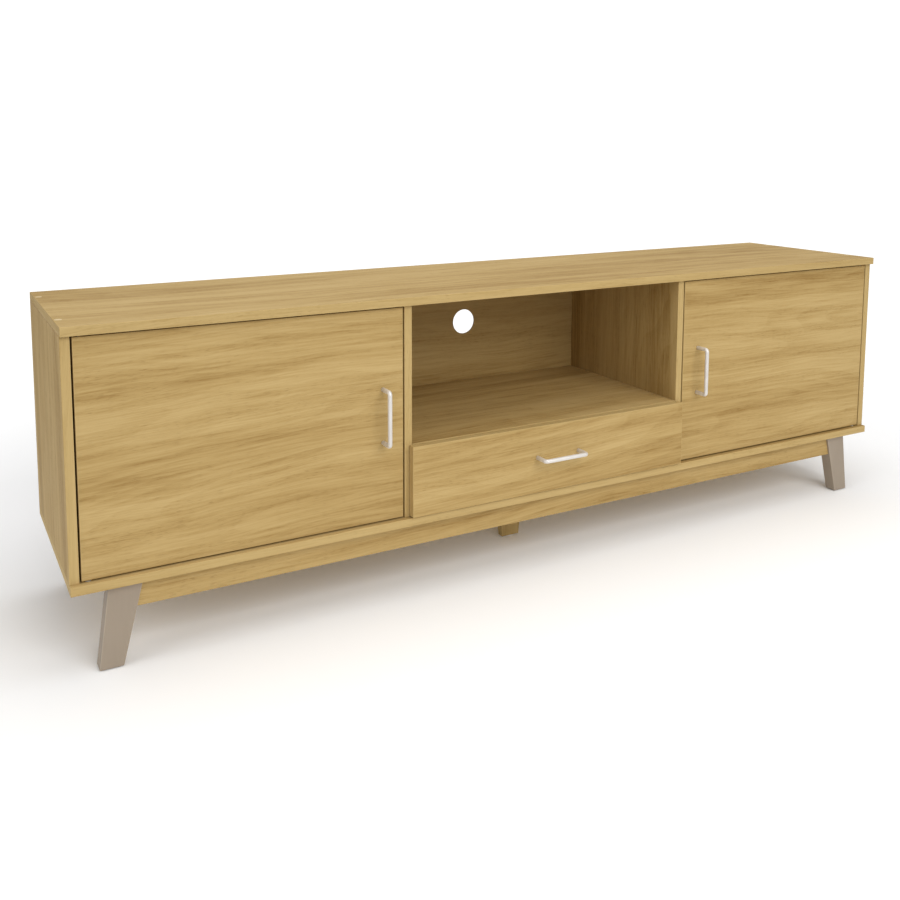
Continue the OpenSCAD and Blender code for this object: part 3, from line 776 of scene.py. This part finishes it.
board("left_door", "left_leaf", Y, X, (0.62, 1.05))
board("right_door", "right_leaf", Y, X, (8.35, 2.45))
LEAVES = (("left", "left_leaf"), ("right", "right_leaf"))
DOOR_STEEL_EASE = 0.0004
for side, leaf in LEAVES:
    pins = side + "_hinge_pins"
    eased_piece(side + "_pivot_pins", pins, leaf, "zinc_steel", zinc, DOOR_STEEL_EASE)
    plate = side + "_strike_plate"
    eased_piece(side + "_keeper", plate, leaf, "zinc_steel", zinc, DOOR_STEEL_EASE)

# ---- Handles ----
# Bars bent from round rod, with tight bends and two posts, finely brushed and satin plated. Two machine
# screws from behind hold each one.

ROD_SEGMENTS = 40
BEND_STEPS = 10
BEND_INSIDE = 0.001
ROD_CHAMFER = 0.0004
MACHINE_SCREW = (0.008, 0.0024, 0.004)
PAN_DOME = 0.0010


def satin_rod(name):
    """Matt nickel-coloured plate over fine brushing, which scatters more light than it mirrors."""
    finish, start = new_finish(name)
    place = start.on_piece()
    clouds = place.cloud(45.0)
    brushed = place.cloud(2600.0, 2.0, 0.6)
    paint(
        finish,
        Base_Color=clouds.rise(0.3, 0.7).blend(ink(224, 220, 215), ink(216, 211, 205)),
        Metallic=0.45,
        Roughness=brushed * 0.12 + 0.4,
        Normal=brushed.bump(0.2, 0.00003),
    )
    return finish


satin_metal = satin_rod("satin_nickel")


def bar_handle(name, node, body, turn):
    """A round bar on two posts. It is made along X, standing out to -Y, then turned to its place."""
    low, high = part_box(node)
    lengths = sorted((high.x - low.x, high.z - low.z))
    radius = lengths[0] / 2
    pitch = lengths[1] - lengths[0]
    reach = high.y - low.y - radius
    bend = radius + BEND_INSIDE
    end = radius - ROD_CHAMFER
    straight = reach - bend - ROD_CHAMFER
    shape = bmesh.new()
    ring = bmesh.ops.create_circle(shape, cap_ends=True, segments=ROD_SEGMENTS, radius=end)["verts"]
    bmesh.ops.rotate(shape, verts=ring, cent=(0, 0, 0), matrix=Matrix.Rotation(math.pi / 2, 3, "X"))
    bmesh.ops.translate(shape, verts=ring, vec=(-pitch / 2, 0, 0))
    edges = list(shape.edges)

    def drawn(edges, step, widen=1.0):
        """Draws the end of the rod out by a step, and gives its new rim."""
        made = bmesh.ops.extrude_edge_only(shape, edges=edges)["geom"]
        verts, rim = corners_and_edges(made)
        if widen != 1.0:
            centre = sum((vert.co for vert in verts), Vector()) / len(verts)
            for vert in verts:
                vert.co = centre + (vert.co - centre) * widen
        bmesh.ops.translate(shape, verts=verts, vec=step)
        return rim

    def bent(edges, centre):
        """Bends the end of the rod a quarter turn round a centre, and gives its new rim."""
        verts = each_once(vert for edge in edges for vert in edge.verts)
        made = bmesh.ops.spin(
            shape, geom=verts + edges, cent=centre, axis=(0, 0, 1), angle=math.pi / 2,
            steps=BEND_STEPS, use_merge=False, use_duplicate=False,
        )["geom_last"]
        return corners_and_edges(made)[1]

    edges = drawn(edges, (0, -ROD_CHAMFER, 0), radius / end)
    edges = drawn(edges, (0, -straight, 0))
    edges = bent(edges, (bend - pitch / 2, bend - reach, 0))
    edges = drawn(edges, (pitch - 2 * bend, 0, 0))
    edges = bent(edges, (pitch / 2 - bend, bend - reach, 0))
    edges = drawn(edges, (0, straight, 0))
    edges = drawn(edges, (0, ROD_CHAMFER, 0), end / radius)
    bmesh.ops.contextual_create(shape, geom=edges)
    bmesh.ops.remove_doubles(shape, verts=shape.verts, dist=WELD)
    bmesh.ops.recalc_face_normals(shape, faces=shape.faces)
    for face in shape.faces:
        face.smooth = len(face.verts) == 4
    middle = (low + high) / 2
    middle.y = high.y
    bmesh.ops.transform(shape, verts=shape.verts, matrix=Matrix.Translation(middle) @ turn)
    return finished(name, shape, body, [node], "satin_metal", satin_metal)


upright = Matrix.Rotation(math.pi / 2, 4, "Y")
for side, leaf in LEAVES:
    bar_handle(side + "_bar_handle", side + "_door_handle", leaf, upright)
    screws = side + "_handle_screws"
    screw_set(side + "_machine_screws", screws, leaf, Y, 1, MACHINE_SCREW, PAN_DOME)

# ---- Drawer front ----
# A slab of the faced chipboard that covers the edges of the dividers, lipped all round, with a bar
# handle across its middle.

board("drawer_front", "drawer_box", Y, X, (2.90, 5.35))
bar_handle("drawer_bar_handle", "drawer_handle", "drawer_box", Matrix.Identity(4))
screw_set(
    "drawer_machine_screws", "drawer_handle_screws", "drawer_box", Y, 1, MACHINE_SCREW, PAN_DOME
)

# ---- Drawer box ----
# Two sides and a back of thin board wrapped in pale beech foil, and a thin bottom slid into their
# grooves. Cam locks hold the sides to the front, and screws hold the back.


def beech_foil(name):
    """Beech printed on foil: pale, even, straight grain with short flecks."""
    finish, start = new_finish(name)
    place = start.on_print()
    drift = place.noise((1.5, 5.0, 1.0), 1.0)
    fibres = place.shifted((drift - 0.5) * 0.03)
    streaks = fibres.noise((2.0, 60.0, 1.0), 3.0, 0.55).rise(0.3, 0.7)
    hairs = fibres.noise((12.0, 420.0, 1.0), 3.0, 0.6).rise(0.3, 0.7)
    flecks = fibres.noise((140.0, 1300.0, 1.0), 1.0).rise(0.62, 0.7)
    tone = streaks * 0.55 + hairs * 0.35
    colour = tone.blend(ink(224, 198, 158), ink(205, 176, 134))
    paint(
        finish,
        Base_Color=(flecks * 0.35).blend(colour, ink(170, 134, 92)),
        Roughness=hairs * 0.08 + 0.45,
        Normal=(1.0 - flecks - hairs * 0.3).bump(0.25, 0.00008),
    )
    return finish


FOIL_EASE = 0.0005
RAW_DRAWER_EDGES = {(Z, -1), REAR}
DRAWER_SCREW = (0.0064, 0.002, 0.0035)
foil = beech_foil("beech_foil")
for node, thick, grain, start in (
    ("drawer_left_side", X, Y, (0.2, 0.4)),
    ("drawer_right_side", X, Y, (1.3, 1.1)),
    ("drawer_back", Y, X, (2.6, 0.8)),
    ("drawer_bottom", Z, X, (3.8, 1.9)),
):
    shape = board_shape(node, thick, grain, start, RAW_DRAWER_EDGES, FOIL_EASE)
    finished(node + "_panel", shape, "drawer_box", [node], "drawer_board", foil, foil, raw_core)
cam_set("drawer_cam_locks", "drawer_cams", "drawer_box", -1)
dressed("drawer_cam_bolts", zinc)
screw_set("drawer_wood_screws", "drawer_back_screws", "drawer_box", X, 0, DRAWER_SCREW)

# ---- Drawer runners ----
# White coated steel angles along the bottom edges of the drawer's sides, each with a nylon roller at
# its rear that runs in the cabinet's channel.

eased_piece(
    "drawer_angles", "drawer_runners", "drawer_box", "white_runner", white_coat, BENT_STEEL_EASE
)
eased_piece(
    "rear_nylon_rollers", "rear_rollers", "rear_roller_pair", "white_plastic", nylon, ROLLER_EASE, 3
)
screw_set("angle_screws", "drawer_runner_screws", "drawer_box", X, 0, RUNNER_SCREW)

# ---- Studio ----
# A pale floor that fades out into a bright even sky a few steps away, with broad soft lights in
# front, at the left and overhead. The camera stands left of the middle, a little above the cabinet.

floor_shape = bmesh.new()
bmesh.ops.create_grid(floor_shape, x_segments=1, y_segments=1, size=6)
floor_mesh = bpy.data.meshes.new("studio_floor")
floor_shape.to_mesh(floor_mesh)
floor_shape.free()
floor_finish, floor_start = new_finish("pale_floor")
floor_place = floor_start.on_piece()
floor_clouds = floor_place.cloud(1.2)
floor_distance = floor_place.node("VectorMath", {0: floor_place}, output=1, operation="LENGTH")
paint(
    floor_finish,
    Base_Color=floor_clouds.blend(ink(250, 250, 250), ink(252, 252, 252)),
    Roughness=0.8,
    Specular_IOR_Level=0.1,
    Alpha=1.0 - floor_distance.rise(0.9, 2.3),
)
floor_mesh.materials.append(floor_finish)
studio_floor = bpy.data.objects.new("studio_floor", floor_mesh)
bpy.context.scene.collection.objects.link(studio_floor)

sky = bpy.data.worlds.new("studio_sky")
sky.use_nodes = True
backdrop = sky.node_tree.nodes["Background"]
backdrop.inputs["Color"].default_value = (1.0, 1.0, 1.0, 1.0)
seen_brightness = 1.15
light_brightness = 0.54
seen = Signal(sky.node_tree).node("LightPath", {}, output=0)
sky.node_tree.links.new(
    (seen * (seen_brightness - light_brightness) + light_brightness).socket,
    backdrop.inputs["Strength"],
)
bpy.context.scene.world = sky

AIM = Vector((0.0, 0.0, 0.3))
for name, spot, width, height, power in (
    ("front_light", (0.2, -3.4, 2.5), 3.2, 2.0, 85.0),
    ("side_light", (-3.4, -0.6, 1.7), 1.8, 1.8, 20.0),
    ("overhead_light", (0.2, 0.0, 3.4), 3.4, 2.2, 44.0),
):
    lamp = bpy.data.lights.new(name, "AREA")
    lamp.shape = "RECTANGLE"
    lamp.size = width
    lamp.size_y = height
    lamp.energy = power
    holder = bpy.data.objects.new(name, lamp)
    bpy.context.scene.collection.objects.link(holder)
    holder.location = spot
    holder.rotation_euler = (AIM - Vector(spot)).to_track_quat("-Z", "Y").to_euler()

lens = bpy.data.cameras.new("camera")
lens.sensor_width = 36.0
lens.lens = 38.956
lens.shift_x = 0.0300
lens.shift_y = -0.2239
camera = bpy.data.objects.new("camera", lens)
bpy.context.scene.collection.objects.link(camera)
camera.location = (-1.0898, -1.6699, 0.8338)
downwards = math.radians(6.473)
rightwards = math.radians(27.996)
camera.rotation_euler = (math.pi / 2 - downwards, 0.0, -rightwards)
bpy.context.scene.camera = camera
bpy.context.scene.view_settings.view_transform = "Standard"
